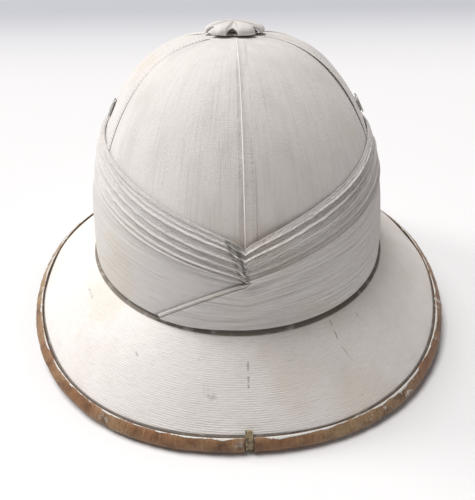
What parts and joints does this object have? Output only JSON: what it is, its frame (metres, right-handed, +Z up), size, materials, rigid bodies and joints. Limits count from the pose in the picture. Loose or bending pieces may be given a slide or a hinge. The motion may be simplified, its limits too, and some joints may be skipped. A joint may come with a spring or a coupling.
{
  "type": "sun helmet",
  "caption": "Cloth-covered sun helmet with a domed crown, deep sloping brim, pleated wrap, leather edge binding and a ventilator button.",
  "frame": {"origin": "middle of the footprint of the whole helmet, on the surface that it rests on", "axes": "+Z up, the front of the helmet faces -Y, the wearer's left is +X"},
  "size_m": [0.2942, 0.3424, 0.181],
  "materials": {
    "crown_cloth": "white cotton drill, fine weave, faint grey streaks",
    "brim_cloth": "white cotton drill, smudged and scuffed",
    "binding_leather": "worn tan leather, chipped white along its inner edge",
    "tab_canvas": "khaki canvas, frayed",
    "wrap_cloth": "white muslin, soft folds",
    "vent_cloth": "white cotton over a shaped cap",
    "vent_metal": "dull white-painted metal",
    "eyelet_metal": "dull white-painted metal"
  },
  "bodies": {
    "root": {"crown": "crown_cloth", "brim": "brim_cloth", "edge_binding": "binding_leather", "binding_joint_tab": "tab_canvas", "wrap_band_left": "wrap_cloth", "wrap_band_right": "wrap_cloth", "wrap_pleats_left": "wrap_cloth", "wrap_pleats_right": "wrap_cloth", "vent_cap": "vent_cloth", "vent_collet": "vent_metal", "eyelet_left": "eyelet_metal", "eyelet_right": "eyelet_metal", "seam_welt_1": "crown_cloth", "seam_welt_2": "crown_cloth", "seam_welt_3": "crown_cloth", "seam_welt_4": "crown_cloth", "seam_welt_5": "crown_cloth", "seam_welt_6": "crown_cloth"}
  },
  "joints": []
}
